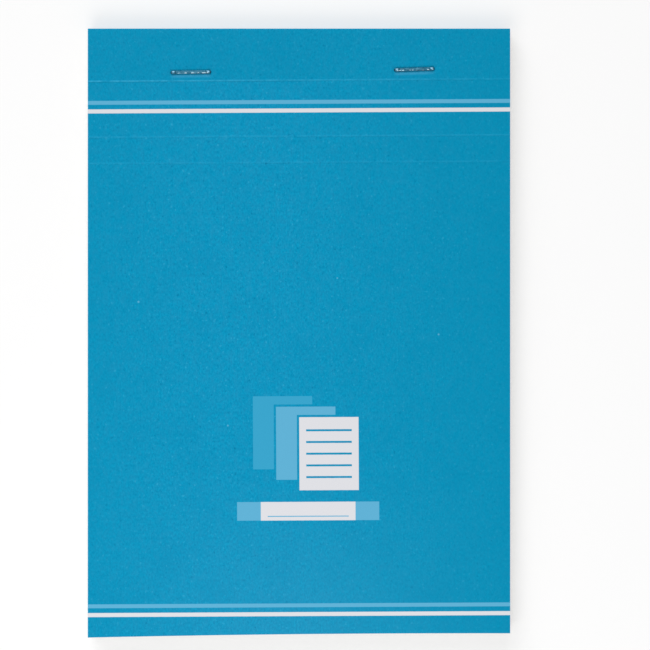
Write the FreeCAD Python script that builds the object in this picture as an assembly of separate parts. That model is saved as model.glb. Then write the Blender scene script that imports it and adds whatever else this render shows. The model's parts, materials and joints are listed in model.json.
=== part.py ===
"""A stapled A5 writing pad, lying on its back with the head towards +Y and the front cover up.

Millimetres. The origin is under the middle of the pad, on the surface that it lies on.
One piece of printed card makes the front cover, folds round the head and ends as a flap on the
back. It is split here at the opening crease, where the cover turns. Two flat wire staples go
through card, sheets, board and flap, and are clinched inwards under the flap.
"""
import FreeCAD, Part
import math
import os

Vector = FreeCAD.Vector

# The trimmed pad, seen from the front
pad_width = 148.0
side_length = 213.5  # down the left side, which is the longer one
foot_rise_middle = 1.2  # the foot was trimmed on a slight curve: its height above the left corner
foot_rise_right = 1.5

# The stack, from the back up
card_thickness = 0.35
board_thickness = 0.9
sheet_count = 80
sheet_thickness = 0.09

# The card folded round the head
fold_inner_radius = 0.4
flap_length = 28.0  # how far the card reaches down the back

# The score lines, measured down from the head at the middle of the pad
opening_crease_distance = 18.2  # the cover turns here
over_head_crease_distance = 37.8  # bends over the head when the cover is folded right back
under_back_crease_distance = 47.0  # bends under the back
crease_turn = 0.35  # degrees, right end nearer the head, as the print is
crease_gap = 0.2  # between the cover and the strip, at the opening crease
bead_width = 1.3
bead_height = 0.1

# The tear-off line in the sheets
tear_line_distance = 20.2  # down from the head
tear_slit_length = 2.2
tear_slit_width = 0.12
tear_tie = 0.8  # paper left between two slits

# The staples, bent from flat wire
wire_width = 1.2
wire_thickness = 0.5
wire_edge_bevel = 0.15
bend_inner_radius = 0.2
crown_length = 14.3
crown_sunk = 0.15  # how deep the crown's shoulders are pressed into the card
bar_drop = 0.12  # the bar between the shoulders is pressed deeper
shoulder_run = 0.5  # the level wire of a shoulder, between its two bends
dip_radius = 0.6  # along the wire's middle, where it dips from a shoulder to the bar
clinch_length = 5.0
staple_clearance = 0.05
dimple_floor_margin = 0.25
dimple_slope = 0.7  # the card slopes down to the crown over this width
left_staple_x = -37.9
left_staple_distance = 15.4  # from the head
left_staple_turn = 0.8  # degrees
right_staple_x = 40.4
right_staple_distance = 14.4
right_staple_turn = 1.8

# Heights and edges that follow from the sizes above
board_bottom = card_thickness
board_top = board_bottom + board_thickness
sheets_top = board_top + sheet_count * sheet_thickness
pad_top = sheets_top + card_thickness
head = side_length / 2
stack_head = head - card_thickness - fold_inner_radius
left_side = -pad_width / 2
right_side = pad_width / 2
left_foot = -side_length / 2
middle_foot = left_foot + foot_rise_middle
right_foot = left_foot + foot_rise_right
crown_bottom = pad_top - crown_sunk
crown_top = crown_bottom + wire_thickness
bar_bottom = crown_bottom - bar_drop


def across_crease(down, x):
    """How high on the pad a score line lies at x."""
    return head - down + x * math.tan(math.radians(crease_turn))


def line(start, end):
    return Part.LineSegment(start, end).toShape()


def arc(start, middle, end):
    return Part.Arc(start, middle, end).toShape()


def prism(edges, height):
    """A closed outline in a level plane, raised by height."""
    return Part.Face(Part.Wire(edges)).extrude(Vector(0, 0, height))


def trimmed_slab(bottom, height, left_top, right_top):
    """A slab with the pad's own sides and foot, up to a line between two heights on the pad."""
    top_left = Vector(left_side, left_top, bottom)
    top_right = Vector(right_side, right_top, bottom)
    foot_right = Vector(right_side, right_foot, bottom)
    foot_middle = Vector(0, middle_foot, bottom)
    foot_left = Vector(left_side, left_foot, bottom)
    outline = [
        line(top_left, top_right),
        line(top_right, foot_right),
        arc(foot_right, foot_middle, foot_left),
        line(foot_left, top_left),
    ]
    return prism(outline, height)


def bead(down, bottom):
    """The rounded ridge of one score line, across the whole card, standing on a level plane."""
    left = Vector(left_side, across_crease(down, left_side), bottom)
    along = Vector(pad_width, pad_width * math.tan(math.radians(crease_turn)), 0)
    half = Vector(0, bead_width / 2, 0)
    crest = left + Vector(0, 0, bead_height)
    section = [arc(left - half, crest, left + half), line(left + half, left - half)]
    return Part.Face(Part.Wire(section)).extrude(along)


def scored(card, *downs):
    """The card with a bead pressed up along each of the score lines."""
    for down in downs:
        card = card.cut(bead(down, sheets_top))
        card = card.fuse(bead(down, pad_top))
    return card


def cover_side(gap, height):
    """The space on the cover's side of the opening crease, from gap below it down to the foot."""
    left_top = across_crease(opening_crease_distance, left_side) - gap
    right_top = across_crease(opening_crease_distance, right_side) - gap
    return trimmed_slab(sheets_top, height, left_top, right_top)


def front_cover():
    """The cover, from the crest of the opening crease's bead down, with two more beads."""
    card = scored(
        cover_side(-bead_width, card_thickness),
        opening_crease_distance,
        over_head_crease_distance,
        under_back_crease_distance,
    )
    return card.common(cover_side(crease_gap / 2, card_thickness + bead_height)).removeSplitter()


def folded_card():
    """The card's section from the front, round the head and down the back, drawn out sideways."""
    outer = fold_inner_radius + card_thickness
    reach = opening_crease_distance + pad_width * math.tan(math.radians(crease_turn)) + bead_width
    front_end = head - reach
    back_end = head - flap_length
    diagonal = math.sqrt(0.5)

    def at(y, z):
        return Vector(left_side, y, z)

    def corner(centre, radius, sign):
        return centre + Vector(0, radius * diagonal, sign * radius * diagonal)

    top_centre = at(head - outer, pad_top - outer)
    low_centre = at(head - outer, outer)
    outside = [
        line(at(front_end, pad_top), at(head - outer, pad_top)),
        arc(at(head - outer, pad_top), corner(top_centre, outer, 1), at(head, pad_top - outer)),
        line(at(head, pad_top - outer), at(head, outer)),
        arc(at(head, outer), corner(low_centre, outer, -1), at(head - outer, 0)),
        line(at(head - outer, 0), at(back_end, 0)),
    ]
    face = head - card_thickness
    inside = [
        line(at(back_end, 0), at(back_end, board_bottom)),
        line(at(back_end, board_bottom), at(head - outer, board_bottom)),
        arc(at(head - outer, board_bottom), corner(low_centre, fold_inner_radius, -1), at(face, outer)),
        line(at(face, outer), at(face, pad_top - outer)),
        arc(
            at(face, pad_top - outer),
            corner(top_centre, fold_inner_radius, 1),
            at(head - outer, sheets_top),
        ),
        line(at(head - outer, sheets_top), at(front_end, sheets_top)),
        line(at(front_end, sheets_top), at(front_end, pad_top)),
    ]
    return Part.Face(Part.Wire(outside + inside)).extrude(Vector(pad_width, 0, 0))


def head_wrap():
    """The staple strip down to the opening crease, the two folds and the flap, in one."""
    card = scored(folded_card(), opening_crease_distance)
    return card.cut(cover_side(-crease_gap / 2, card_thickness + bead_height)).removeSplitter()


def sheets():
    """All the sheets as one block, with the tear-off slits through it."""
    block = trimmed_slab(board_top, sheets_top - board_top, stack_head, stack_head)
    pitch = tear_slit_length + tear_tie
    count = int((pad_width - tear_tie) / pitch)
    first = -(count - 1) * pitch / 2
    slits = []
    for number in range(count):
        corner = Vector(
            first + number * pitch - tear_slit_length / 2,
            head - tear_line_distance - tear_slit_width / 2,
            board_top,
        )
        slits.append(Part.makeBox(tear_slit_length, tear_slit_width, sheets_top - board_top, corner))
    return block.cut(slits)


def back_board():
    return trimmed_slab(board_bottom, board_thickness, stack_head, stack_head)


def centred_box(low_x, high_x, width, low_z, high_z):
    """A box between two places along the staple, centred on the wire."""
    corner = Vector(low_x, -width / 2, low_z)
    return Part.makeBox(high_x - low_x, width, high_z - low_z, corner)


def rectangle(half_length, half_width, z):
    corners = [
        Vector(-half_length, -half_width, z),
        Vector(half_length, -half_width, z),
        Vector(half_length, half_width, z),
        Vector(-half_length, half_width, z),
    ]
    return Part.makePolygon(corners + corners[:1])


def wire_section():
    """The flat wire's section with bevelled edges, at the tip of the left clinch."""
    tip = clinch_length - crown_length / 2
    half = wire_width / 2
    side = half - wire_edge_bevel
    low = wire_edge_bevel
    high = wire_thickness - wire_edge_bevel
    outline = [
        (-side, 0),
        (side, 0),
        (half, low),
        (half, high),
        (side, wire_thickness),
        (-side, wire_thickness),
        (-half, high),
        (-half, low),
        (-side, 0),
    ]
    return Part.makePolygon([Vector(tip, y, z) for y, z in outline])


def staple():
    """One staple, drawn along its wire: clinch, leg, shoulder, bar, shoulder, leg and clinch."""
    bend_radius = bend_inner_radius + wire_thickness / 2
    bend = bend_inner_radius + wire_thickness
    dip = math.degrees(math.acos(1 - bar_drop / (2 * dip_radius)))
    dip_length = 2 * dip_radius * math.sin(math.radians(dip))
    leg_run = crown_top - 2 * bend
    clinch_run = clinch_length - bend
    bar_run = crown_length - 2 * (bend + shoulder_run + dip_length)
    steps = [  # a straight run of wire, then a turn: to the right of the way it is drawn, or to the left
        (clinch_run, 90, bend_radius),
        (leg_run, 90, bend_radius),
        (shoulder_run, dip, dip_radius),
        (0, -dip, dip_radius),
        (bar_run, -dip, dip_radius),
        (0, dip, dip_radius),
        (shoulder_run, 90, bend_radius),
        (leg_run, 90, bend_radius),
        (clinch_run, 0, 0),
    ]
    across = Vector(0, 1, 0)
    heading = Vector(-1, 0, 0)
    section = Part.Face(wire_section())
    wire = []
    for run, turn, radius in steps:
        if run:
            wire.append(section.extrude(heading * run))
            section.translate(heading * run)
        if turn:
            side = math.copysign(1, turn)
            centre = section.CenterOfMass + across.cross(heading) * side * radius
            wire.append(section.revolve(centre, across * side, abs(turn)))
            section.rotate(centre, across * side, abs(turn))
            heading = FreeCAD.Rotation(across * side, abs(turn)).multVec(heading)
    return wire[0].fuse(wire[1:]).removeSplitter()


def staple_way():
    """The slots, clinch grooves and pressed dimple that one staple makes in what it holds."""
    room = staple_clearance
    width = wire_width + 2 * room
    outer = crown_length / 2 + room
    leg_inner = crown_length / 2 - wire_thickness - room
    bend_inner = leg_inner - bend_inner_radius
    tip = crown_length / 2 - clinch_length - room
    way = []
    for side in (-1, 1):
        spans = (
            (leg_inner, outer, 0, crown_bottom),
            (bend_inner, outer, crown_bottom - bend_inner_radius - room, crown_bottom),
            (bend_inner, outer, 0, wire_thickness + bend_inner_radius + room),
            (tip, outer, 0, wire_thickness),
        )
        for near, far, low, high in spans:
            ends = sorted((side * near, side * far))
            way.append(centred_box(ends[0], ends[1], width, low, high))
    floor_length = crown_length / 2 + dimple_floor_margin
    floor_width = wire_width / 2 + dimple_floor_margin
    floor = rectangle(floor_length, floor_width, bar_bottom)
    rim = rectangle(floor_length + dimple_slope, floor_width + dimple_slope, pad_top)
    way.append(Part.makeLoft([floor, rim], True, True))
    return way[0].fuse(way[1:])


def put_staple(shape, x, down, turn):
    """A staple's shape, turned in the plane of the card and moved to its place."""
    placed = shape.copy()
    placed.rotate(Vector(0, 0, 0), Vector(0, 0, 1), turn)
    placed.translate(Vector(x, head - down, 0))
    return placed


staple_places = {
    "staple_left": (left_staple_x, left_staple_distance, left_staple_turn),
    "staple_right": (right_staple_x, right_staple_distance, right_staple_turn),
}


def build():
    """Every node by name."""
    ways = [put_staple(staple_way(), *place) for place in staple_places.values()]
    nodes = {
        "front_cover": front_cover(),
        "head_wrap": head_wrap().cut(ways),
        "sheets": sheets().cut(ways),
        "back_board": back_board().cut(ways),
    }
    for name, place in staple_places.items():
        nodes[name] = put_staple(staple(), *place)
    return nodes


os.makedirs("parts", exist_ok=True)
for name, shape in build().items():
    shape.exportStep("parts/" + name + ".step")
    box = shape.BoundBox
    print(name, shape.isValid(), len(shape.Solids), round(shape.Volume, 2),
          [round(v, 3) for v in (box.XMin, box.XMax, box.YMin, box.YMax, box.ZMin, box.ZMax)])
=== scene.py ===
import bpy
import bmesh
import json
import math
import random
from mathutils import Matrix, Vector, noise


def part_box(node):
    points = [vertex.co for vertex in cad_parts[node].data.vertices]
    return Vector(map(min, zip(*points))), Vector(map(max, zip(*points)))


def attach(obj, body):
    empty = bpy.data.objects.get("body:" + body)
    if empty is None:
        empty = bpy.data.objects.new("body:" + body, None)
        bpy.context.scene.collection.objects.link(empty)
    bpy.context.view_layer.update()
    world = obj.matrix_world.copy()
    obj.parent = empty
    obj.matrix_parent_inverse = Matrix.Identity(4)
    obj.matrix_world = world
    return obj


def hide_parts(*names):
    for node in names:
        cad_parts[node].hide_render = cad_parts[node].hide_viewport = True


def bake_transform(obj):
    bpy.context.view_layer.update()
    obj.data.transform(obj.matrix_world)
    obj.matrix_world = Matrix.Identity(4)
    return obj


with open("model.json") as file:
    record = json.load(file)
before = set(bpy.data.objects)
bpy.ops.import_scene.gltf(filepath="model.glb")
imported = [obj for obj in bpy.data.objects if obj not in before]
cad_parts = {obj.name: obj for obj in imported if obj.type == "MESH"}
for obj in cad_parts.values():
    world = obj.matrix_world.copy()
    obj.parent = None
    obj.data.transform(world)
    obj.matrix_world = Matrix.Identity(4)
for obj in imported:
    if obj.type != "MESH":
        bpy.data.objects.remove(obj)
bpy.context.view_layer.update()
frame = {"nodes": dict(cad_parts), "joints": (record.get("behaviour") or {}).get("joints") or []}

mm = 0.001
quarterTurn = math.pi / 2
tiny = 1e-7  # places no further apart than this, or than small, count as the same
small = 1e-6

# Places that the frame gives
wrapLow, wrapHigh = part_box("head_wrap")
sheetsLow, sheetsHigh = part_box("sheets")
leftX, rightX = sheetsLow.x, sheetsHigh.x
headY, footY = wrapHigh.y, sheetsLow.y
sheetsTop = sheetsHigh.z
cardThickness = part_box("back_board")[0].z  # the flap under the board is the same card
padTop = sheetsTop + cardThickness
hinge = frame["joints"][0]
creaseAlong = -Vector(hinge["axis"]).normalized()  # points to the right
creaseTurn = math.atan2(creaseAlong.y, creaseAlong.x)
towardsHead = Vector((-creaseAlong.y, creaseAlong.x, 0))

padShape = {
    "footRiseMiddle": 1.2 * mm,  # the foot was trimmed on a slight curve
    "footRiseRight": 1.5 * mm,
}

staples = {
    "stapleLeftWire": {"node": "staple_left", "x": -37.9 * mm, "down": 15.4 * mm, "turn": math.radians(0.8)},
    "stapleRightWire": {"node": "staple_right", "x": 40.4 * mm, "down": 14.4 * mm, "turn": math.radians(1.8)},
}

wireShape = {
    "width": 1.2 * mm,
    "thickness": 0.5 * mm,
    "roundness": 0.23 * mm,
    "crown": 14.3 * mm,
    "endTaper": 0.25,  # the wire looks narrower where it turns down
    "taperLength": 1.0 * mm,
    "clinch": 5.0 * mm,
    "bend": 0.2 * mm,
    "sunk": 0.15 * mm,
    "barHalf": 5.7 * mm,
    "kinkLength": 0.6 * mm,
    "barDrop": 0.15 * mm,
    "barRise": 0.06 * mm,
    "underDrop": 0.3,  # the share of the drop that the bar's underside follows
    "roundSteps": 4,
    "bendSteps": 7,
    "clinchSteps": 4,
    "crownSteps": 44,
}


# How far up the pad its foot edge is at x
def footLine(x):
    across = x / rightX
    middle, right = padShape["footRiseMiddle"], padShape["footRiseRight"]
    return footY + middle + right / 2 * across + (right / 2 - middle) * across * across


# A screen colour, 0 to 255, as Blender's linear one
def linear(red, green, blue):
    shades = []
    for shade in (red, green, blue):
        shade /= 255
        shades.append(shade / 12.92 if shade <= 0.04045 else ((shade + 0.055) / 1.055) ** 2.4)
    return (*shades, 1.0)


def smoothStep(value):
    value = min(1.0, max(0.0, value))
    return value * value * (3 - 2 * value)


# Shader helpers

def newMaterial(name):
    material = bpy.data.materials.new(name)
    material.use_nodes = True
    tree = material.node_tree
    return material, tree, tree.nodes["Principled BSDF"]


def addNode(tree, kind, settings=None, inputs=None):
    node = tree.nodes.new(kind)
    for key, setting in (settings or {}).items():
        setattr(node, key, setting)
    for key, given in (inputs or {}).items():
        if isinstance(given, bpy.types.NodeSocket):
            tree.links.new(given, node.inputs[key])
        else:
            node.inputs[key].default_value = given
    return node


# One Math node. Numbers are set on it and sockets are linked to it
def sums(tree, operation, *given, clamp=False):
    settings = {"operation": operation, "use_clamp": clamp}
    return addNode(tree, "ShaderNodeMath", settings, dict(enumerate(given))).outputs[0]


# The first colour where the factor is 0, and share of the second where it is 1
def mixColour(tree, factor, first, second, share=None):
    if share is not None:
        factor = sums(tree, "MULTIPLY", factor, share)
    node = addNode(tree, "ShaderNodeMix", {"data_type": "RGBA"}, {0: factor, 6: first, 7: second})
    return node.outputs[2]


# Two values in shares that make up a whole
def mixed(tree, first, second, firstShare):
    return sums(tree, "ADD", sums(tree, "MULTIPLY", first, firstShare),
                sums(tree, "MULTIPLY", second, 1 - firstShare))


# A value times gain plus shift, kept between 0 and 1
def stretched(tree, value, gain, shift):
    return sums(tree, "MULTIPLY_ADD", value, gain, shift, clamp=True)


# A noise value about 0.5, read from the piece's own coordinates in metres
def cloud(tree, vector, scale, detail, rough, stretch=None):
    if stretch:
        vector = addNode(tree, "ShaderNodeMapping", None, {"Vector": vector, "Scale": stretch}).outputs[0]
    inputs = {"Vector": vector, "Scale": scale, "Detail": detail, "Roughness": rough}
    return addNode(tree, "ShaderNodeTexNoise", None, inputs).outputs[0]


# 1 where place is within half of centre, and 0 elsewhere, with an edge as wide as soft
def band(tree, place, centre, half, soft):
    away = sums(tree, "ABSOLUTE", sums(tree, "SUBTRACT", place, centre))
    return sums(tree, "MULTIPLY_ADD", away, -1 / soft, half / soft + 0.5, clamp=True)


# 1 inside a rectangle of the print, given as its middle and its half sizes
def oblong(tree, across, down, spot, soft):
    sideways = band(tree, across, spot["across"], spot["halfAcross"], soft)
    lengthways = band(tree, down, spot["down"], spot["halfDown"], soft)
    return sums(tree, "MULTIPLY", sideways, lengthways)


def bumpFrom(tree, shader, height, distance, strength):
    inputs = {"Height": height, "Distance": distance, "Strength": strength}
    tree.links.new(addNode(tree, "ShaderNodeBump", None, inputs).outputs[0], shader.inputs["Normal"])


def mattFinish(tree, shader, colour, height, look):
    tree.links.new(colour, shader.inputs["Base Color"])
    shader.inputs["Roughness"].default_value = look["roughness"]
    shader.inputs["Specular IOR Level"].default_value = look["shine"]
    bumpFrom(tree, shader, height, *look["bump"])


# The printed card: blue ink, stripes and a plain emblem on coated board

printLook = {
    "blue": linear(11, 157, 199),
    "blueShade": linear(2, 134, 177),
    "blueTint": linear(52, 168, 208),
    "warmBlue": linear(38, 146, 188),
    "deepBlue": linear(0, 118, 160),
    # Painted shade: the colour the blue darkens to towards the sides and on the head strip
    "shadedBlue": linear(0, 136, 173),
    # Painted highlight: the paler blue on the hollow below each staple
    "lipGlintBlue": linear(68, 160, 202),
    # Painted sheen: the paler blue towards the foot
    "sheenBlue": linear(80, 160, 200),
    "lightBlue": linear(98, 177, 212),
    "midBlue": linear(58, 163, 202),
    "white": linear(222, 222, 226),
    "lightShare": 0.93,  # of the card that each ink covers
    "midShare": 0.95,
    "whiteShare": 0.98,
    "turn": math.radians(0.275),  # the print isn't quite square to the head, nor along the creases
    "frontStart": 5 * mm,  # the spine and the flap beyond this have no print
    "lightStripes": (25.8 * mm, 202.2 * mm),  # down from the head
    "whiteStripes": (28.8 * mm, 205.27 * mm),
    "lightHalf": 0.67 * mm,
    "whiteHalf": 0.71 * mm,
    "inkEdge": 0.12 * mm,
    "raggedness": 0.1 * mm,
    "ridges": (18.2 * mm, 37.8 * mm, 47.0 * mm),
    # Paler blue along each ridge: partly worn ink, partly painted highlight on the crest
    "ridgeHighlightAndWear": (0.75, 0.34, 0.22),
    "ridgeMarkFade": (0.65, 0.0, 0.0),  # less towards the right
    "ridgeHalf": 0.24 * mm,
    "ridgeSoft": 0.3 * mm,
    # Painted shade towards the right, the left and on the head strip
    "shadeRight": (-6 * mm, 80 * mm, 0.55),  # where it starts, how far it takes to grow, and its share
    "shadeLeft": (30 * mm, 44 * mm, 0.25),
    "shadeHead": (-19.0 * mm, 1.2 * mm, 0.3),
    # Painted sheen towards the foot, about the middle
    "sheenFoot": (155 * mm, 50 * mm, 0.11),
    "sheenMiddle": 5 * mm,
    "sheenHalf": 40 * mm,
    "sheenSoft": 70 * mm,
    # The painted highlight below each staple: its place, width and ends
    "pressedPlace": -1.25 * mm,  # from each staple's middle line, towards the foot
    "pressedHalf": 0.48 * mm,
    "pressedSoft": 0.7 * mm,
    "pressedEnd": 0.5 * mm,  # it stops this far inside the staple's ends
    "pressedEndSoft": 1.2 * mm,
    "lipGlintShare": 0.62,
    "roughness": 0.52,
    "glossVary": 0.16,
    "shine": 0.03,
    "bump": (0.03 * mm, 0.7),
}

# Noise in the ink: how fine, how detailed, how rough, and how it is stretched
inkNoise = {
    "ragged": (900, 3, 0.5),
    "grain": (1700, 3, 0.65, (1.0, 0.6, 1.0)),
    "blotch": (520, 4, 0.6, (1.0, 0.6, 1.0)),
    "warmth": (480, 5, 0.75, (1.0, 0.6, 1.0)),
    "drift": (70, 3, 0.6),
    "flecks": (1000, 1, 0.5, (1.0, 0.8, 1.0)),
    "patches": (260, 4, 0.65),
    "grainShare": 0.9,  # and blotches make up the rest
    "paleShare": 0.6,
    "deepShare": 0.7,
}

# How each noise becomes a share of its colour: gain and shift
inkRange = {
    "lightness": (3.2, -1.1),
    "warmth": (1.7, -0.7),
    "drift": (1.1, -0.5),
    "paleFlecks": (7.0, -4.5),
    "deepFlecks": (-7.0, 2.5),
    "pressed": (2.0, -0.2),
    "ridges": (3.5, -1.2),
}

# Three plain sheets of paper, one before the other, as a pad's generic sign
emblem = {
    "rearPage": {"across": -6.4 * mm, "down": 141.7 * mm, "halfAcross": 10.4 * mm, "halfDown": 12.8 * mm},
    "middlePage": {"across": 1.7 * mm, "down": 145.4 * mm, "halfAcross": 10.4 * mm, "halfDown": 12.8 * mm},
    "frontPage": {"across": 9.8 * mm, "down": 149.1 * mm, "halfAcross": 10.4 * mm, "halfDown": 12.8 * mm},
    "gap": 0.8 * mm,
    "ruleCount": 5,
    "rulePitch": 4.1 * mm,
    "ruleHalf": 0.35 * mm,
    "ruleInset": 2.4 * mm,
}

# A write-in field for a title, left empty
nameLabel = {
    "bar": {"across": 2.4 * mm, "down": 169.2 * mm, "halfAcross": 24.9 * mm, "halfDown": 3.25 * mm},
    "field": {"across": 2.4 * mm, "down": 169.2 * mm, "halfAcross": 16.6 * mm, "halfDown": 3.25 * mm},
    "rule": {"across": 2.4 * mm, "down": 171.0 * mm, "halfAcross": 14.2 * mm, "halfDown": 0.17 * mm},
}

specks = (  # pale grains in the ink: across, down and radius
    (-56.7 * mm, 95.6 * mm, 0.34 * mm),
    (-25.6 * mm, 139.1 * mm, 0.28 * mm),
    (48.4 * mm, 107.5 * mm, 0.3 * mm),
    (13.0 * mm, 87.6 * mm, 0.24 * mm),
)
speckSoft = 0.3 * mm
speckShare = 0.8


def smaller(spot, margin):
    changed = dict(spot)
    changed["halfAcross"] -= margin
    changed["halfDown"] -= margin
    return changed


def joined(tree, masks):
    total = masks[0]
    for mask in masks[1:]:
        total = sums(tree, "MAXIMUM", total, mask)
    return total


# Masks of the printed shapes: pale blue, middle blue and white ink
def printedShapes(tree, across, down):
    soft = printLook["inkEdge"]
    lightHalf, whiteHalf = printLook["lightHalf"], printLook["whiteHalf"]
    front, middle, rear = (oblong(tree, across, down, emblem[page], soft)
                           for page in ("frontPage", "middlePage", "rearPage"))
    frontMoat, middleMoat = (oblong(tree, across, down, smaller(emblem[page], -emblem["gap"]), soft)
                             for page in ("frontPage", "middlePage"))
    middle = sums(tree, "SUBTRACT", middle, frontMoat, clamp=True)
    rear = sums(tree, "SUBTRACT", rear, middleMoat, clamp=True)
    rules = []
    for number in range(emblem["ruleCount"]):
        shift = (number - (emblem["ruleCount"] - 1) / 2) * emblem["rulePitch"]
        rules.append(band(tree, down, emblem["frontPage"]["down"] + shift, emblem["ruleHalf"], soft))
    ruled = band(tree, across, emblem["frontPage"]["across"],
                 emblem["frontPage"]["halfAcross"] - emblem["ruleInset"], soft)
    front = sums(tree, "SUBTRACT", front, sums(tree, "MULTIPLY", joined(tree, rules), ruled), clamp=True)
    bar, field, fieldRule = (oblong(tree, across, down, nameLabel[shape], soft)
                             for shape in ("bar", "field", "rule"))
    field = sums(tree, "SUBTRACT", field, fieldRule, clamp=True)
    paleStripes = [band(tree, down, place, lightHalf, soft) for place in printLook["lightStripes"]]
    whiteStripes = [band(tree, down, place, whiteHalf, soft) for place in printLook["whiteStripes"]]
    return joined(tree, paleStripes + [middle, bar]), rear, joined(tree, whiteStripes + [front, field])


# A flat place on the card as across from its middle and down from its head, on lines that are turned
def turnedPlace(tree, flat, turn):
    turned = addNode(tree, "ShaderNodeMapping", {"vector_type": "TEXTURE"}, {
        "Vector": flat, "Location": (0, headY, 0), "Rotation": (0, 0, turn), "Scale": (1, -1, 1)}).outputs[0]
    parts = addNode(tree, "ShaderNodeSeparateXYZ", None, {0: turned})
    return turned, parts.outputs[0], parts.outputs[1]


# Grows from 0 at start to share over a length
def ramp(tree, place, start, length, share):
    return sums(tree, "MULTIPLY", stretched(tree, place, 1 / length, -start / length), share)


# Painted shade darkens the blue towards the sides and on the head strip, and a painted sheen pales it towards
# the foot
def blueWithPaintedShadeAndSheen(tree, across, down, blue):
    leftwards = sums(tree, "MULTIPLY", across, -1.0)
    headwards = sums(tree, "MULTIPLY", down, -1.0)
    paintedShade = joined(tree, [ramp(tree, across, *printLook["shadeRight"]),
                         ramp(tree, leftwards, *printLook["shadeLeft"]),
                         ramp(tree, headwards, *printLook["shadeHead"])])
    # Painted sheen: paler towards the foot
    pale = band(tree, across, printLook["sheenMiddle"], printLook["sheenHalf"], printLook["sheenSoft"])
    pale = sums(tree, "MULTIPLY", pale, ramp(tree, down, *printLook["sheenFoot"]))
    blue = mixColour(tree, pale, blue, printLook["sheenBlue"])
    return mixColour(tree, paintedShade, blue, printLook["shadedBlue"])


# Painted highlight: a paler glint on the hollow's slope below each staple
def glintBelowStaples(tree, flat, patches, blue):
    half = wireShape["crown"] / 2 - printLook["pressedEnd"]
    for staple in staples.values():
        spot = addNode(tree, "ShaderNodeMapping", {"vector_type": "TEXTURE"}, {
            "Vector": flat, "Location": (staple["x"], headY - staple["down"], 0),
            "Rotation": (0, 0, staple["turn"])}).outputs[0]
        parts = addNode(tree, "ShaderNodeSeparateXYZ", None, {0: spot})
        line = band(tree, parts.outputs[1], printLook["pressedPlace"], printLook["pressedHalf"],
                    printLook["pressedSoft"])
        reach = band(tree, parts.outputs[0], 0.0, half, printLook["pressedEndSoft"])
        patchy = stretched(tree, patches, *inkRange["pressed"])
        wearAndGlint = sums(tree, "MULTIPLY", sums(tree, "MULTIPLY", line, reach), patchy)
        blue = mixColour(tree, wearAndGlint, blue, printLook["lipGlintBlue"], printLook["lipGlintShare"])
    return blue


# Along the scored ridges the blue pales: partly worn ink, partly a painted highlight on their crests
def highlightAndWearAlongRidges(tree, flat, across, patches, blue):
    alongRidges = turnedPlace(tree, flat, creaseTurn)[2]
    for place, wear, fade in zip(printLook["ridges"], printLook["ridgeHighlightAndWear"], printLook["ridgeMarkFade"]):
        ridge = band(tree, alongRidges, place, printLook["ridgeHalf"], printLook["ridgeSoft"])
        patchy = stretched(tree, patches, *(number * wear for number in inkRange["ridges"]))
        fading = sums(tree, "MULTIPLY_ADD", across, -fade / rightX, 1.0)
        wearAndGlint = sums(tree, "MULTIPLY", ridge, sums(tree, "MULTIPLY", patchy, fading))
        blue = mixColour(tree, wearAndGlint, blue, printLook["blueTint"])
    return blue


# Uneven ink: warm clouds, a slow drift and sparse pale and deep flecks over the fine grain
def unevenBlue(tree, flat, lightness):
    blue = mixColour(tree, stretched(tree, lightness, *inkRange["lightness"]),
                     printLook["blueShade"], printLook["blue"])
    warmth = stretched(tree, cloud(tree, flat, *inkNoise["warmth"]), *inkRange["warmth"])
    blue = mixColour(tree, warmth, blue, printLook["warmBlue"])
    drift = stretched(tree, cloud(tree, flat, *inkNoise["drift"]), *inkRange["drift"])
    blue = mixColour(tree, drift, blue, printLook["blueShade"])
    flecks = cloud(tree, flat, *inkNoise["flecks"])
    pale = stretched(tree, flecks, *inkRange["paleFlecks"])
    blue = mixColour(tree, pale, blue, printLook["blueTint"], inkNoise["paleShare"])
    deep = stretched(tree, flecks, *inkRange["deepFlecks"])
    return mixColour(tree, deep, blue, printLook["deepBlue"], inkNoise["deepShare"])


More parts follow.
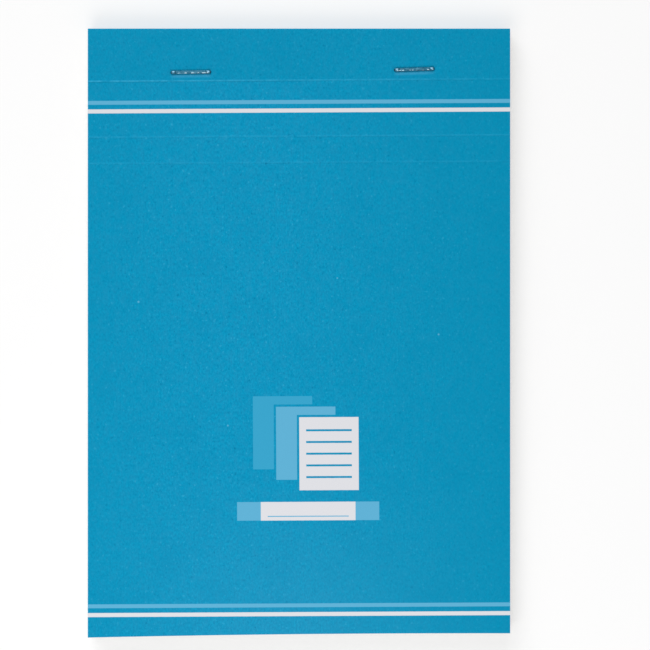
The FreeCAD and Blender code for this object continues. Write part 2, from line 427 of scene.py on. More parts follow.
def makePrintedCard():
    material, tree, shader = newMaterial("printedBlueCard")
    flat = addNode(tree, "ShaderNodeAttribute", {"attribute_name": "cardPlace"}).outputs["Vector"]
    turned, across, down = turnedPlace(tree, flat, printLook["turn"])
    ragged = sums(tree, "MULTIPLY_ADD", cloud(tree, flat, *inkNoise["ragged"]),
                  printLook["raggedness"], -printLook["raggedness"] / 2)
    down = sums(tree, "ADD", down, ragged)
    blotch = cloud(tree, flat, *inkNoise["blotch"])
    lightness = mixed(tree, cloud(tree, flat, *inkNoise["grain"]), blotch, inkNoise["grainShare"])
    blue = blueWithPaintedShadeAndSheen(tree, across, down, unevenBlue(tree, flat, lightness))
    patches = cloud(tree, flat, *inkNoise["patches"])
    blue = glintBelowStaples(tree, flat, patches, blue)
    blue = highlightAndWearAlongRidges(tree, flat, across, patches, blue)
    for acrossSpot, downSpot, radius in specks:
        away = addNode(tree, "ShaderNodeVectorMath", {"operation": "DISTANCE"},
                       {0: turned, 1: (acrossSpot, downSpot, 0)}).outputs["Value"]
        dot = band(tree, away, 0.0, radius, speckSoft)
        blue = mixColour(tree, dot, blue, printLook["lightBlue"], speckShare)

    onFront = sums(tree, "GREATER_THAN", down, printLook["frontStart"])
    lightInk, midInk, whiteInk = (sums(tree, "MULTIPLY", mask, onFront)
                                  for mask in printedShapes(tree, across, down))
    inked = mixColour(tree, midInk, blue, printLook["midBlue"], printLook["midShare"])
    inked = mixColour(tree, lightInk, inked, printLook["lightBlue"], printLook["lightShare"])
    inked = mixColour(tree, whiteInk, inked, printLook["white"], printLook["whiteShare"])
    tree.links.new(inked, shader.inputs["Base Color"])
    gloss = sums(tree, "MULTIPLY_ADD", blotch, printLook["glossVary"],
                 printLook["roughness"] - printLook["glossVary"] / 2)
    tree.links.new(gloss, shader.inputs["Roughness"])
    shader.inputs["Specular IOR Level"].default_value = printLook["shine"]
    bumpFrom(tree, shader, lightness, *printLook["bump"])
    return material


# Uncoated board: the card's inside and its cut edge
bareCardLook = {
    "inside": linear(238, 237, 232),
    "insideShade": linear(228, 227, 221),
    "insideFibres": (1500, 3, 0.6, (1.0, 0.5, 1.0)),
    "insideContrast": 1.8,
    "edge": linear(214, 220, 222),
    "edgeShade": linear(150, 185, 203),
    "edgeFibres": (1500, 3, 0.6, (1.0, 1.0, 6.0)),
    "edgeContrast": 3.0,
    "broad": (180, 4, 0.6),
    "roughness": 0.85,
    "shine": 0.25,
    "bump": (0.02 * mm, 0.7),
}


def makeBareCard(name, side):
    material, tree, shader = newMaterial(name)
    if side == "inside":
        flat = addNode(tree, "ShaderNodeAttribute", {"attribute_name": "cardPlace"}).outputs["Vector"]
    else:
        flat = addNode(tree, "ShaderNodeTexCoord").outputs["Object"]
    broad = cloud(tree, flat, *bareCardLook["broad"])
    fine = cloud(tree, flat, *bareCardLook[side + "Fibres"])
    contrast = bareCardLook[side + "Contrast"]
    tone = stretched(tree, mixed(tree, broad, fine, 0.5), contrast, 0.5 - contrast / 2)
    colour = mixColour(tree, tone, bareCardLook[side + "Shade"], bareCardLook[side])
    mattFinish(tree, shader, colour, fine, bareCardLook)
    return material


paperLook = {
    "white": linear(243, 242, 237),
    "shade": linear(235, 234, 228),
    "fibres": (700, 4, 0.6, (1.0, 0.45, 1.0)),
    "formation": (90, 3, 0.5),
    "range": (1.1, -0.5),
    "rule": linear(132, 164, 200),
    "ruleHalf": 0.13 * mm,
    "ruleSoft": 0.08 * mm,
    "ruleInk": (0.5, 0.55),  # how the fibres break up the feint ink
    "rulePitch": 8.0 * mm,
    "firstRule": 34.0 * mm,  # down from the head
    "lastRule": 204.0 * mm,
    "roughness": 0.82,
    "shine": 0.25,
    "bump": (0.01 * mm, 0.6),
}


# The sheets' faces: soft white with pale feint lines that run off both sides
def makeWritingPaper():
    material, tree, shader = newMaterial("ruledWritingPaper")
    place = addNode(tree, "ShaderNodeTexCoord").outputs["Object"]
    y = addNode(tree, "ShaderNodeSeparateXYZ", None, {0: place}).outputs[1]
    fibres = cloud(tree, place, *paperLook["fibres"])
    formation = cloud(tree, place, *paperLook["formation"])
    tone = stretched(tree, sums(tree, "ADD", fibres, formation), *paperLook["range"])
    paper = mixColour(tree, tone, paperLook["shade"], paperLook["white"])
    down = sums(tree, "SUBTRACT", headY, y)
    pitch, first, last = paperLook["rulePitch"], paperLook["firstRule"], paperLook["lastRule"]
    within = sums(tree, "MODULO", sums(tree, "SUBTRACT", down, first - pitch / 2), pitch)
    line = band(tree, within, pitch / 2, paperLook["ruleHalf"], paperLook["ruleSoft"])
    ruled = band(tree, down, (first + last) / 2, (last - first) / 2 + mm, paperLook["ruleSoft"])
    broken = sums(tree, "MULTIPLY_ADD", fibres, *paperLook["ruleInk"])
    faint = sums(tree, "MULTIPLY", sums(tree, "MULTIPLY", line, ruled), broken)
    mattFinish(tree, shader, mixColour(tree, faint, paper, paperLook["rule"]), fibres, paperLook)
    return material


edgeLook = {
    # Partly painted shade: the darker colour of the fine lines between the leaves
    "gap": linear(212, 210, 203),
    "lines": (1.0, 2, 0.7, (30, 30, 9000)),
    "bundles": (1.0, 3, 0.6, (14, 14, 1500)),
    "soiled": (60, 3, 0.5),
    "linesShare": 0.6,
    "range": (3.2, -1.1),
    "soilShare": 0.25,
    "roughness": 0.9,
    "shine": 0.2,
    "bump": (0.03 * mm, 0.8),
}


# The trimmed sides of the stack: fine darker lines between the leaves that are painted shade, and some sheets
# a little darker than others
def makePaperEdges():
    material, tree, shader = newMaterial("trimmedPaperEdges")
    place = addNode(tree, "ShaderNodeTexCoord").outputs["Object"]
    lines = cloud(tree, place, *edgeLook["lines"])
    bundles = cloud(tree, place, *edgeLook["bundles"])
    tone = stretched(tree, mixed(tree, lines, bundles, edgeLook["linesShare"]), *edgeLook["range"])
    edge = mixColour(tree, tone, edgeLook["gap"], paperLook["white"])
    soiled = cloud(tree, place, *edgeLook["soiled"])
    edge = mixColour(tree, soiled, edge, paperLook["shade"], edgeLook["soilShare"])
    mattFinish(tree, shader, edge, lines, edgeLook)
    return material


boardLook = {
    "grey": linear(163, 154, 141),
    "dark": linear(129, 121, 110),
    "pale": linear(196, 190, 179),
    "fleck": linear(84, 78, 74),
    "broad": (70, 4, 0.6),
    "fibres": (520, 5, 0.7, (1.0, 0.35, 1.6)),
    "flecks": (950, 1, 0.5),
    "range": (1.7, -1.2),
    "paleRange": (9.0, -6.0),
    "darkRange": (-9.0, 3.0),
    "paleShare": 0.6,
    "darkShare": 0.7,
    "roughness": 0.9,
    "shine": 0.2,
    "bump": (0.04 * mm, 0.8),
}


# Grey board from waste paper, with darker and paler flecks in it
def makeChipboard():
    material, tree, shader = newMaterial("greyChipboard")
    place = addNode(tree, "ShaderNodeTexCoord").outputs["Object"]
    broad = cloud(tree, place, *boardLook["broad"])
    relief = sums(tree, "ADD", broad, cloud(tree, place, *boardLook["fibres"]))
    tone = stretched(tree, relief, *boardLook["range"])
    board = mixColour(tree, tone, boardLook["dark"], boardLook["grey"])
    flecks = cloud(tree, place, *boardLook["flecks"])
    pale = stretched(tree, flecks, *boardLook["paleRange"])
    board = mixColour(tree, pale, board, boardLook["pale"], boardLook["paleShare"])
    dark = stretched(tree, flecks, *boardLook["darkRange"])
    board = mixColour(tree, dark, board, boardLook["fleck"], boardLook["darkShare"])
    mattFinish(tree, shader, board, relief, boardLook)
    return material


wireLook = {
    # Painted highlight: the colour of the streak along the wire
    "streakHighlight": (0.62, 0.88, 1.0, 1.0),
    # Partly painted reflection: the dark blue-grey tones stand for the blue card and the dark room
    "tinned": (0.085, 0.26, 0.37, 1.0),
    "dull": (0.026, 0.125, 0.2, 1.0),
    # Painted highlight on the shoulders
    "shoulderHighlight": (0.42, 0.72, 0.96, 1.0),
    # Painted shade on the rounded edges, bends and kinks
    "edgeAndKinkShade": (0.008, 0.055, 0.09, 1.0),
    "drawn": (1.0, 3, 0.6, (420, 3000, 2400)),  # fine lines along the wire
    "wearAndGlint": (760, 3, 0.65),
    "patches": (1.0, 2, 0.7, (520, 900, 900)),
    "range": (5.0, -2.0),
    "patchRange": (12.0, -6.35),
    "flatHalf": 0.33 * mm,  # painted shade lies on the rounded edges beyond this
    "flatSoft": 0.2 * mm,
    "capPlace": 6.5 * mm,  # and on the bends beyond this
    "capSoft": 0.4 * mm,
    "darkShare": 0.85,
    "streakPlace": -0.26 * mm,  # across the wire, where a painted highlight runs along it
    "streakHalf": 0.12 * mm,
    "streakSoft": 0.14 * mm,
    "streakMatt": 0.85,  # how much less metallic the painted highlight looks
    "shoulderPlace": 6.1 * mm,
    "shoulderHalf": 0.3 * mm,
    "shoulderSoft": 0.3 * mm,
    "shoulderAcross": (0.18 * mm, 0.16 * mm, 0.2 * mm),
    "kinkPlace": 5.35 * mm,  # along the crown from its middle, where the wire is squeezed and painted shade lies
    "kinkHalf": 0.22 * mm,
    "kinkSoft": 0.3 * mm,
    "kinkSlant": 0.35,
    "kinkShare": 0.8,
    "roughness": (0.3, 0.14),
    "bump": (0.02 * mm, 0.6),
}


# Tinned steel in dark blue-grey tones that are partly painted reflection, with a painted highlight streak
# bright in spots, painted highlights on the shoulders, and painted shade on its rounded edges, bends and
# kinks
def makeStapleWire():
    material, tree, shader = newMaterial("tinnedStapleWire")
    place = addNode(tree, "ShaderNodeAttribute", {"attribute_name": "wirePlace"}).outputs["Vector"]
    parts = addNode(tree, "ShaderNodeSeparateXYZ", None, {0: place})
    along, across = parts.outputs[0], parts.outputs[1]
    fromMiddle = sums(tree, "ABSOLUTE", along)
    drawn = cloud(tree, place, *wireLook["drawn"])
    wearAndGlint = cloud(tree, place, *wireLook["wearAndGlint"])
    tone = stretched(tree, mixed(tree, drawn, wearAndGlint, 0.5), *wireLook["range"])
    metal = mixColour(tree, tone, wireLook["dull"], wireLook["tinned"])
    patches = stretched(tree, cloud(tree, place, *wireLook["patches"]), *wireLook["patchRange"])
    # Painted highlight: a streak along the wire, bright in spots
    streak = band(tree, across, wireLook["streakPlace"], wireLook["streakHalf"], wireLook["streakSoft"])
    streak = sums(tree, "MULTIPLY", streak, patches)
    metal = mixColour(tree, streak, metal, wireLook["streakHighlight"])
    # Painted highlight on each shoulder
    shoulder = band(tree, fromMiddle, wireLook["shoulderPlace"], wireLook["shoulderHalf"],
                    wireLook["shoulderSoft"])
    shoulder = sums(tree, "MULTIPLY", shoulder, band(tree, across, *wireLook["shoulderAcross"]))
    metal = mixColour(tree, shoulder, metal, wireLook["shoulderHighlight"])
    # Painted shade on the rounded edges, the bends and the kinks
    outside = sums(tree, "SUBTRACT", sums(tree, "ABSOLUTE", across), wireLook["flatHalf"])
    beyond = sums(tree, "SUBTRACT", fromMiddle, wireLook["capPlace"])
    edge = joined(tree, [sums(tree, "MULTIPLY", outside, 1 / wireLook["flatSoft"], clamp=True),
                         sums(tree, "MULTIPLY", beyond, 1 / wireLook["capSoft"], clamp=True)])
    slanted = sums(tree, "MULTIPLY_ADD", across, wireLook["kinkSlant"], fromMiddle)
    kink = band(tree, slanted, wireLook["kinkPlace"], wireLook["kinkHalf"], wireLook["kinkSoft"])
    dark = joined(tree, [sums(tree, "MULTIPLY", edge, wireLook["darkShare"]),
                         sums(tree, "MULTIPLY", kink, wireLook["kinkShare"])])
    tree.links.new(mixColour(tree, dark, metal, wireLook["edgeAndKinkShade"]), shader.inputs["Base Color"])
    metallic = sums(tree, "MULTIPLY_ADD", streak, -wireLook["streakMatt"], 1.0)
    tree.links.new(metallic, shader.inputs["Metallic"])
    tree.links.new(sums(tree, "MULTIPLY_ADD", wearAndGlint, *wireLook["roughness"]), shader.inputs["Roughness"])
    bumpFrom(tree, shader, drawn, *wireLook["bump"])
    return material


print("materials")
printedCard = makePrintedCard()
cardInside = makeBareCard("whiteCardInside", "inside")
cardEdge = makeBareCard("cutCardEdge", "edge")
writingPaper = makeWritingPaper()
paperEdges = makePaperEdges()
chipboard = makeChipboard()
stapleWire = makeStapleWire()


# Turns a bmesh into a smooth-shaded object with hard edges where the surface turns sharply
def finishPiece(name, bm, materials, sharpAngle=35.0):
    bm.normal_update()
    for face in bm.faces:
        face.smooth = True
    for edge in bm.edges:
        edge.smooth = len(edge.link_faces) == 2 and edge.calc_face_angle(0) < math.radians(sharpAngle)
    mesh = bpy.data.meshes.new(name)
    bm.to_mesh(mesh)
    bm.free()
    piece = bpy.data.objects.new(name, mesh)
    bpy.context.scene.collection.objects.link(piece)
    for material in materials:
        mesh.materials.append(material)
    return piece


# The card, made as one outside surface and parted above the opening crease

cardShape = {
    "foldRadius": 0.75 * mm,
    "foldSteps": 9,
    "columns": 37,
    "seamDown": 17.4 * mm,  # the moving card starts on the flat just above the opening crease
    "bendLength": 0.9 * mm,
    "beadHalf": 0.55 * mm,
    "beadHeights": (0.17 * mm, 0.11 * mm, 0.09 * mm),
    "beadFades": (0.6, 0.1, 0.1),  # the scoring bit deeper on the left than on the right
    "dimpleDepth": 0.25 * mm,
    "dimpleSpread": 0.75 * mm,
    "footSpread": 1.9,  # the hollow runs this much further towards the foot
    "clinchSpread": 0.5 * mm,
    "clinchSkin": 0.14 * mm,
    "clinchProud": 0.03 * mm,
    "beadVary": 0.45,
    "beadGrain": (45, 200),
    "waveHeight": 0.1 * mm,
    "waveStart": 48 * mm,
    "waveGrow": 30 * mm,
    "waveGrain": (16, 11),
    "headRows": ((2.5, 11.5, 1.5), (12.6, 17.4, 0.2), (17.5, 19.1, 0.1), (20.5, 36.0, 3.0)),
    "coverRows": ((39.5, 45.0, 2.5), (49.0, 208.0, 5.0)),  # each from, to and apart, in millimetres
    "ridgeRows": (0.7 * mm, 0.14 * mm),
    "flapRows": (11.5 * mm, 18.0 * mm, 0.22 * mm),
    "stapleColumns": (2.4 * mm, 0.42 * mm),  # how far past the staple's ends, and how far apart
}


def cutAt(bm, place, normal, faces=None):
    faces = faces if faces is not None else bm.faces[:]
    geometry = set(faces)
    for face in faces:
        geometry.update(face.edges)
        geometry.update(face.verts)
    bmesh.ops.bisect_plane(bm, geom=list(geometry), dist=tiny, plane_co=place, plane_no=normal)


def steps(low, high, step):
    count = max(1, round((high - low) / step))
    return [low + (high - low) * number / count for number in range(count + 1)]


# Distances down from the head, close together where the card is pressed, scored or bent
def cardRows():
    reach, apart = cardShape["ridgeRows"]
    rows = []
    for low, high, step in cardShape["headRows"]:
        rows += steps(low * mm, high * mm, step * mm)
    for ridge in printLook["ridges"][1:]:
        rows += steps(ridge - reach, ridge + reach, apart)
    for low, high, step in cardShape["coverRows"]:
        rows += steps(low * mm, high * mm, step * mm)
    return rows


# A point's place along and across one staple, and how far it is outside the crown
def atStaple(point, staple):
    offset = Vector((point.x - staple["x"], point.y - (headY - staple["down"])))
    offset.rotate(Matrix.Rotation(-staple["turn"], 2))
    beyond = max(abs(offset.x) - wireShape["crown"] / 2, 0)
    beside = max(abs(offset.y) - wireShape["width"] / 2, 0)
    if offset.y < 0:
        beside /= cardShape["footSpread"]
    return offset, math.hypot(beyond, beside)


# Smooth noise over the card, from -1 to 1
def unevenness(x, y, grain, level):
    return noise.noise(Vector((x * grain[0], y * grain[1], level)))


# Raises the scored ridges, presses in the staples and lets the cover lie a little wavy
def pressCard(bm):
    radius = cardShape["foldRadius"]
    for vertex in bm.verts:
        point = vertex.co
        onFront = point.y < headY - radius - small and point.z > padTop / 2
        onFlap = point.y < headY - radius - small and point.z < padTop / 2
        if onFront:
            down = -(point - Vector((0, headY, 0))).dot(towardsHead)
            beads = zip(printLook["ridges"], cardShape["beadHeights"], cardShape["beadFades"])
            for ridge, height, fade in beads:
                away = abs(down - ridge) / cardShape["beadHalf"]
                if away < 1:
                    uneven = unevenness(point.x, down, cardShape["beadGrain"], 2.0)
                    firmness = 1.0 + cardShape["beadVary"] * uneven - fade * point.x / rightX
                    point.z += height * firmness * (0.5 + 0.5 * math.cos(math.pi * away))
            for staple in staples.values():
                outside = atStaple(point, staple)[1]
                point.z -= cardShape["dimpleDepth"] * (1 - smoothStep(outside / cardShape["dimpleSpread"]))
            lying = smoothStep((down - cardShape["waveStart"]) / cardShape["waveGrow"])
            wave = 0.5 + 0.5 * unevenness(point.x, point.y, cardShape["waveGrain"], 0.4)
            point.z += cardShape["waveHeight"] * lying * wave
        elif onFlap:
            for staple in staples.values():
                offset, _ = atStaple(point, staple)
                inner = wireShape["crown"] / 2 - wireShape["clinch"]
                beyond = max(abs(offset.x) - wireShape["crown"] / 2, inner - abs(offset.x), 0)
                beside = max(abs(offset.y) - wireShape["width"] / 2, 0)
                outside = math.hypot(beyond, beside) / cardShape["clinchSpread"]
                depth = wireShape["thickness"] - cardShape["clinchProud"]
                point.z += depth * (1 - smoothStep(outside))


# The card's outside from foot to head, over the spine and down the back, as an open sheet
def makeCardSurface():
    radius = cardShape["foldRadius"]
    foldY = headY - radius
    bm = bmesh.new()
    bmesh.ops.create_grid(bm, x_segments=cardShape["columns"], y_segments=1, size=1.0)
    for vertex in bm.verts:
        onFoot = vertex.co.y < 0
        x = vertex.co.x * rightX
        vertex.co = (x, footLine(x) if onFoot else foldY, padTop)
    past, apart = cardShape["stapleColumns"]
    reach = wireShape["crown"] / 2 + past
    for staple in staples.values():
        for x in steps(staple["x"] - reach, staple["x"] + reach, apart):
            cutAt(bm, (x, 0, 0), (1, 0, 0))
    for row in cardRows():
        cutAt(bm, (0, headY - row, 0), towardsHead)

    def lastEdge(axis, place):
        return [edge for edge in bm.edges if all(abs(v.co[axis] - place) < tiny for v in edge.verts)]

    def turnOver(edges, centre):
        geometry = edges + list({vertex for edge in edges for vertex in edge.verts})
        bmesh.ops.spin(bm, geom=geometry, cent=centre, axis=(1, 0, 0), angle=-quarterTurn,
                       steps=cardShape["foldSteps"], use_merge=False, use_duplicate=False)

    def drawOut(edges, move, count):
        for _ in range(count):
            drawn = bmesh.ops.extrude_edge_only(bm, edges=edges)["geom"]
            edges = [item for item in drawn if isinstance(item, bmesh.types.BMEdge)
                     and len(item.link_faces) == 1 and all(v in drawn for v in item.verts)]
            bmesh.ops.translate(bm, verts=[item for item in drawn if isinstance(item, bmesh.types.BMVert)],
                                vec=Vector(move) / count)

    turnOver(lastEdge(1, foldY), (0, foldY, padTop - radius))
    drawOut(lastEdge(2, padTop - radius), (0, 0, 2 * radius - padTop), 1)
    turnOver(lastEdge(2, radius), (0, foldY, radius))
    flapStart = [edge for edge in lastEdge(1, foldY) if edge.verts[0].co.z < radius]
    drawOut(flapStart, (0, wrapLow.y - foldY, 0), 1)
    bmesh.ops.remove_doubles(bm, verts=bm.verts[:], dist=tiny)
    for row in steps(*cardShape["flapRows"]):
        flap = [face for face in bm.faces if all(v.co.z < small for v in face.verts)]
        cutAt(bm, (0, headY - row, 0), (0, 1, 0), flap)
    bmesh.ops.recalc_face_normals(bm, faces=bm.faces[:])
    top = [face for face in bm.faces if face.calc_center_median().z > padTop / 2]
    if sum(face.normal.z * face.calc_area() for face in top) < 0:
        bmesh.ops.reverse_faces(bm, faces=bm.faces[:])

    # Every point keeps its place on the flat card, so that the print follows the bends
    layer = bm.verts.layers.float_vector.new("cardPlace")
    quarter = radius * quarterTurn
    for vertex in bm.verts:
        x, y, z = vertex.co
        if y <= foldY + tiny and z > padTop / 2:
            along = y
        elif z > padTop - radius:
            along = foldY + radius * math.atan2(y - foldY, z - (padTop - radius))
        elif z >= radius:
            along = foldY + quarter + padTop - radius - z
        elif y > foldY + tiny:
            along = foldY + quarter + padTop - 2 * radius + radius * math.atan2(radius - z, y - foldY)
        else:
            along = foldY + 2 * quarter + padTop - 2 * radius + foldY - y
        vertex[layer] = (x, along, 0)
    pressCard(bm)
    return bm


# Gives the open surface the card's thickness, and marks its printed, bare and cut faces
def thickenCard(bm, name):
    outsidePlaces = {tuple(vertex.co) for vertex in bm.verts}
    bmesh.ops.solidify(bm, geom=bm.verts[:] + bm.edges[:] + bm.faces[:], thickness=cardThickness)
    outside = {vertex for vertex in bm.verts if tuple(vertex.co) in outsidePlaces}
    for vertex in bm.verts:  # where the card is pressed it is thinner, and doesn't enter the stack
        point = vertex.co
        point.x = min(max(point.x, leftX), rightX)
        if vertex not in outside and point.y < headY - cardShape["foldRadius"]:
            if point.z > padTop / 2:
                point.z = max(point.z, sheetsTop)
            elif point.z > cardThickness + 0.01 * mm:
                point.z = cardThickness + cardShape["clinchSkin"]
    for face in bm.faces:
        count = sum(vertex in outside for vertex in face.verts)
        face.material_index = 0 if count == len(face.verts) else 1 if count == 0 else 2
    return finishPiece(name, bm, (printedCard, cardInside, cardEdge))


print("card cover and head wrap")
surface = makeCardSurface()
moving = surface.copy()


# Leaves only the faces on one side of the seam above the opening crease
def keepSide(bm, wanted):
    def isMoving(face):
        centre = face.calc_center_median()
        down = -(centre - Vector((0, headY, 0))).dot(towardsHead)
        return centre.z > padTop / 2 and down > cardShape["seamDown"]
    unwanted = [face for face in bm.faces if isMoving(face) != wanted]
    bmesh.ops.delete(bm, geom=unwanted, context="FACES")


keepSide(surface, False)
keepSide(moving, True)
headWrap = thickenCard(surface, "headWrapCard")
coverCard = thickenCard(moving, "coverCard")
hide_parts("head_wrap")
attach(headWrap, "pad")
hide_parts("front_cover")
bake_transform(coverCard)


# The writing sheets, each a thin leaf of its own in one block

sheetShape = {
    "count": 80,
    "fill": 0.93,  # of each leaf's share of the height; the rest is the dark line between leaves
    "strayEach": 0.035 * mm,
    "strayBundle": 0.06 * mm,
    "bundle": 9,
    "columns": 14,
    "slitSheets": 5,
    "slitDown": 20.2 * mm,
    "slitLength": 2.2 * mm,
    "slitWidth": 0.12 * mm,
    "slitPitch": 3.0 * mm,
    "footNear": 0.2 * mm,  # how close to the foot line a corner belongs to it
    "seed": 7,
}


# One sheet's outline as a flat face strip at the right place on the pad, with no height yet
def makeLeaf():
    bm = bmesh.new()
    bmesh.ops.create_grid(bm, x_segments=sheetShape["columns"], y_segments=1, size=1.0)
    for vertex in bm.verts:
        x = vertex.co.x * rightX
        vertex.co = (x, footLine(x) if vertex.co.y < 0 else sheetsHigh.y, 0)
    return bm


# The tear-off line: a row of short slits right through the sheet
def cutSlits(bm):
    half = sheetShape["slitWidth"] / 2
    middle = headY - sheetShape["slitDown"]
    pitch = sheetShape["slitPitch"]
    count = int((rightX - leftX - pitch + sheetShape["slitLength"]) / pitch)
    centres = [(number - (count - 1) / 2) * pitch for number in range(count)]
    for y in (middle - half, middle + half):
        cutAt(bm, (0, y, 0), (0, 1, 0))
    for centre in centres:
        for x in (centre - sheetShape["slitLength"] / 2, centre + sheetShape["slitLength"] / 2):
            strip = [face for face in bm.faces if abs(face.calc_center_median().y - middle) < half]
            cutAt(bm, (x, 0, 0), (1, 0, 0), strip)
    gone = []
    for face in bm.faces:
        spot = face.calc_center_median()
        inSlit = any(abs(spot.x - centre) < sheetShape["slitLength"] / 2 for centre in centres)
        if inSlit and abs(spot.y - middle) < half:
            gone.append(face)
    bmesh.ops.delete(bm, geom=gone, context="FACES")


def makeSheets():
    random.seed(sheetShape["seed"])
    count = sheetShape["count"]
    share = (sheetsTop - sheetsLow.z) / count
    leafHeight = share * sheetShape["fill"]
    plain = makeLeaf()
    slitted = makeLeaf()
    cutSlits(slitted)
    block = bmesh.new()
    for number in range(count):
        if number % sheetShape["bundle"] == 0:
            stray = [random.uniform(0, sheetShape["strayBundle"]) for _ in range(3)]
        sides = [shift + random.uniform(0, sheetShape["strayEach"]) for shift in stray]
        leaf = (slitted if count - number <= sheetShape["slitSheets"] else plain).copy()
        for vertex in leaf.verts:  # each leaf's sides and foot stop a hair short of the trim line
            if vertex.co.x < leftX + tiny:
                vertex.co.x += sides[0]
            elif vertex.co.x > rightX - tiny:
                vertex.co.x -= sides[1]
            if vertex.co.y < footLine(vertex.co.x) + sheetShape["footNear"]:
                vertex.co.y += sides[2]
        level = sheetsTop - leafHeight if number == count - 1 else sheetsLow.z + number * share
        bmesh.ops.translate(leaf, verts=leaf.verts[:], vec=(0, 0, level + leafHeight))
        bmesh.ops.solidify(leaf, geom=leaf.verts[:] + leaf.edges[:] + leaf.faces[:], thickness=leafHeight)
        mesh = bpy.data.meshes.new("leaf")
        leaf.to_mesh(mesh)
        leaf.free()
        block.from_mesh(mesh)
        bpy.data.meshes.remove(mesh)
    plain.free()
    slitted.free()
    block.normal_update()
    for face in block.faces:
        face.material_index = 0 if abs(face.normal.z) > 0.5 else 1
    return finishPiece("paperSheets", block, (writingPaper, paperEdges), 20.0)


print("sheets")
sheets = makeSheets()
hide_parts("sheets")
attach(sheets, "pad")


# The staples: flat wire bent twice over and clinched

def makeStaple(name, staple):
    width, thickness, bend = wireShape["width"], wireShape["thickness"], wireShape["bend"]
    crownTop = padTop - wireShape["sunk"] + thickness
    half = wireShape["crown"] / 2
    corner = bend + thickness
    bm = bmesh.new()
    bmesh.ops.create_grid(bm, x_segments=1, y_segments=1, size=0.5)
    bmesh.ops.scale(bm, verts=bm.verts[:], vec=(width, thickness, 1))
    bmesh.ops.bevel(bm, geom=bm.verts[:], offset=wireShape["roundness"], offset_type="OFFSET",
                    segments=wireShape["roundSteps"], profile=0.5, affect="VERTICES", material=-1,
                    clamp_overlap=True)
    # The section stands upright at the tip of the left clinch, facing outwards along the wire
    upright = Matrix(((0, 0, -1, 0), (1, 0, 0, 0), (0, 1, 0, 0), (0, 0, 0, 1)))
    bmesh.ops.transform(bm, verts=bm.verts[:], matrix=upright)
    bmesh.ops.translate(bm, verts=bm.verts[:], vec=(wireShape["clinch"] - half, 0, thickness / 2))
    face = bm.faces[:]

    def run(faces, move, count=1):
        for _ in range(count):
            drawn = bmesh.ops.extrude_face_region(bm, geom=faces)["geom"]
            bmesh.ops.translate(bm, verts=[v for v in drawn if isinstance(v, bmesh.types.BMVert)],
                                vec=Vector(move) / count)
            bmesh.ops.delete(bm, geom=[f for f in faces if f.is_valid], context="FACES_ONLY")
            faces = [f for f in drawn if isinstance(f, bmesh.types.BMFace)]
        return faces

    def turn(faces, centre):
        geometry = faces + list({e for f in faces for e in f.edges})
        geometry += list({v for f in faces for v in f.verts})
        done = bmesh.ops.spin(bm, geom=geometry, cent=centre, axis=(0, 1, 0), angle=quarterTurn,
                              steps=wireShape["bendSteps"], use_merge=False, use_duplicate=False)
        bmesh.ops.delete(bm, geom=[f for f in faces if f.is_valid], context="FACES_ONLY")
        return [f for f in done["geom_last"] if isinstance(f, bmesh.types.BMFace)]

    straightLeg = crownTop - 2 * corner
    face = run(face, (corner - wireShape["clinch"], 0, 0), wireShape["clinchSteps"])
    face = turn(face, (corner - half, 0, corner))
    face = run(face, (0, 0, straightLeg))
    face = turn(face, (corner - half, 0, crownTop - corner))
    face = run(face, (2 * (half - corner), 0, 0), wireShape["crownSteps"])
    face = turn(face, (half - corner, 0, crownTop - corner))
    face = run(face, (0, 0, -straightLeg))
    face = turn(face, (half - corner, 0, corner))
    run(face, (corner - wireShape["clinch"], 0, 0), wireShape["clinchSteps"])
    bmesh.ops.remove_doubles(bm, verts=bm.verts[:], dist=small)
    bmesh.ops.holes_fill(bm, edges=[edge for edge in bm.edges if edge.is_boundary], sides=0)
    bmesh.ops.recalc_face_normals(bm, faces=bm.faces[:])
    layer = bm.verts.layers.float_vector.new("wirePlace")
    for vertex in bm.verts:  # with the staple's own place added, so that no two have the same wear and painted highlights
        vertex[layer] = vertex.co + Vector((0, 0, staple["x"]))
    for vertex in bm.verts:  # the driver presses the bar between the shoulders down, with a kink at each end
        along = abs(vertex.co.x)
        inwards = smoothStep((wireShape["barHalf"] - along) / wireShape["kinkLength"])
        if vertex.co.z > crownTop - thickness / 2:
            bowed = wireShape["barRise"] * (1 - (min(along / wireShape["barHalf"], 1.0)) ** 2)
            vertex.co.z -= (wireShape["barDrop"] - bowed) * inwards
        elif vertex.co.z > crownTop - corner:
            vertex.co.z -= wireShape["underDrop"] * wireShape["barDrop"] * inwards
        if vertex.co.z > crownTop - corner:
            turning = smoothStep((along - half + wireShape["taperLength"]) / wireShape["taperLength"])
            vertex.co.y *= 1 - wireShape["endTaper"] * turning
    bmesh.ops.rotate(bm, verts=bm.verts[:], cent=(0, 0, 0), matrix=Matrix.Rotation(staple["turn"], 3, "Z"))
    bmesh.ops.translate(bm, verts=bm.verts[:], vec=(staple["x"], headY - staple["down"], 0))
    return finishPiece(name, bm, (stapleWire,), 50.0)


print("staples")
for stapleName, stapleData in staples.items():
    wire = makeStaple(stapleName, stapleData)
    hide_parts(stapleData["node"])
    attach(wire, "pad")

boardObject = frame["nodes"]["back_board"]
boardObject.data.materials.clear()
boardObject.data.materials.append(chipboard)

# The table, the light and the camera

stageLook = {
    "floorColour": (0.96, 0.96, 0.96, 1.0),
    "floorSize": 6.0,
    "fadeStart": 0.2,  # from the pad's middle; beyond it the table turns into the white background
    "fadeLength": 0.5,
    "whiteness": 0.45,  # of the table about the pad, so that the shadow stays but the table is nearly white
    "worldStrength": 0.54,
}

# Place, size and power of each lamp. They point at the pad's middle
lamps = {
    "keySoftbox": ((-0.72, 1.84, 1.52), (2.2, 1.6), 32.0),
    "fillSoftbox": ((-0.12, -0.34, 0.5), (0.4, 0.3), 1.1),
}

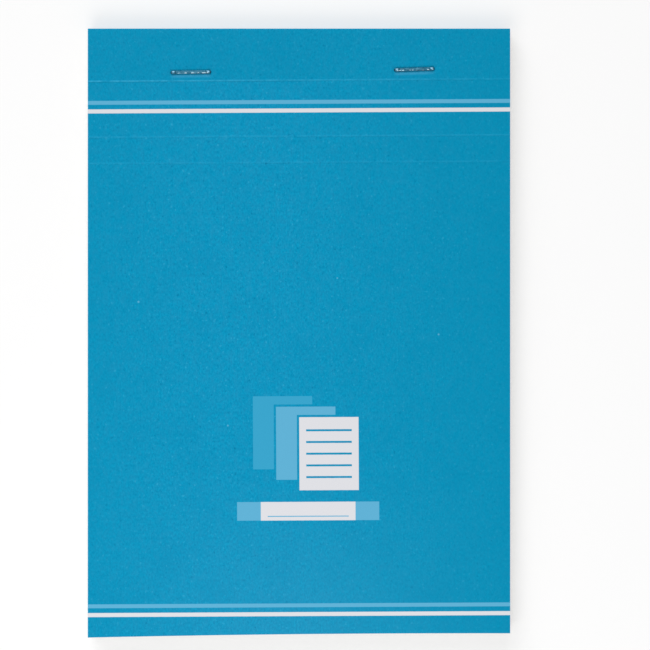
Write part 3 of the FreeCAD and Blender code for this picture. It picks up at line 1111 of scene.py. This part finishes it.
viewShape = {
    "lens": 100.0,
    "sensor": 36.0,
    "photoWidth": 650,  # pixels of the photograph
    "pixel": 0.3504 * mm,  # what one of them covers on the cover
    "padMiddle": (299.0, 332.9),  # the pad's own middle in the photograph
}


# 1 for what the camera sees, itself or through gloss and glass, and 0 for the light on the pad
def seenDirectly(tree):
    path = addNode(tree, "ShaderNodeLightPath")
    rays = ("Is Camera Ray", "Is Glossy Ray", "Is Transmission Ray")
    return joined(tree, [path.outputs[ray] for ray in rays])


def makeStage():
    bpy.ops.mesh.primitive_plane_add(size=stageLook["floorSize"], location=(0, 0, 0))
    floor = bpy.context.object
    floor.name = "tableTop"
    material, tree, shader = newMaterial("paleTableTop")
    shader.inputs["Base Color"].default_value = stageLook["floorColour"]
    shader.inputs["Roughness"].default_value = 0.9
    shader.inputs["Specular IOR Level"].default_value = 0.0
    place = addNode(tree, "ShaderNodeTexCoord").outputs["Object"]
    away = addNode(tree, "ShaderNodeVectorMath", {"operation": "LENGTH"}, {0: place}).outputs["Value"]
    faded = sums(tree, "MULTIPLY_ADD", away, 1 / stageLook["fadeLength"],
                 -stageLook["fadeStart"] / stageLook["fadeLength"], clamp=True)
    faded = sums(tree, "MAXIMUM", faded, stageLook["whiteness"])
    white = addNode(tree, "ShaderNodeEmission").outputs[0]
    seen = sums(tree, "MULTIPLY", faded, seenDirectly(tree))
    both = addNode(tree, "ShaderNodeMixShader", None, {0: seen, 1: shader.outputs[0], 2: white}).outputs[0]
    tree.links.new(both, tree.nodes["Material Output"].inputs[0])
    floor.data.materials.append(material)


def makeLamp(name, place, size, power):
    lamp = bpy.data.lights.new(name, "AREA")
    lamp.shape = "RECTANGLE"
    lamp.size, lamp.size_y = size
    lamp.energy = power
    holder = bpy.data.objects.new(name, lamp)
    holder.location = place
    holder.rotation_euler = (-Vector(place)).to_track_quat("-Z", "Y").to_euler()
    bpy.context.scene.collection.objects.link(holder)


def makeLight():
    world = bpy.data.worlds.new("paleRoom")
    bpy.context.scene.world = world
    world.use_nodes = True
    tree = world.node_tree
    background = tree.nodes["Background"]
    strength = addNode(tree, "ShaderNodeMix", {"data_type": "FLOAT"},
                       {0: seenDirectly(tree), 2: stageLook["worldStrength"], 3: 1.0}).outputs[0]
    tree.links.new(strength, background.inputs["Strength"])
    background.inputs["Color"].default_value = (1, 1, 1, 1)
    for name, (place, size, power) in lamps.items():
        makeLamp(name, place, size, power)


def makeCamera():
    camera = bpy.data.cameras.new("photoView")
    camera.lens = viewShape["lens"]
    camera.sensor_width = viewShape["sensor"]
    holder = bpy.data.objects.new("photoView", camera)
    pictureMiddle = viewShape["photoWidth"] / 2
    away = viewShape["photoWidth"] * viewShape["pixel"] * viewShape["lens"] / viewShape["sensor"]
    right = (pictureMiddle - viewShape["padMiddle"][0]) * viewShape["pixel"]
    up = (viewShape["padMiddle"][1] - pictureMiddle) * viewShape["pixel"]
    holder.location = (right, up, padTop + away)
    bpy.context.scene.collection.objects.link(holder)
    bpy.context.scene.camera = holder


print("stage, light and camera")
makeStage()
makeLight()
makeCamera()
bpy.context.scene.view_settings.view_transform = "Standard"
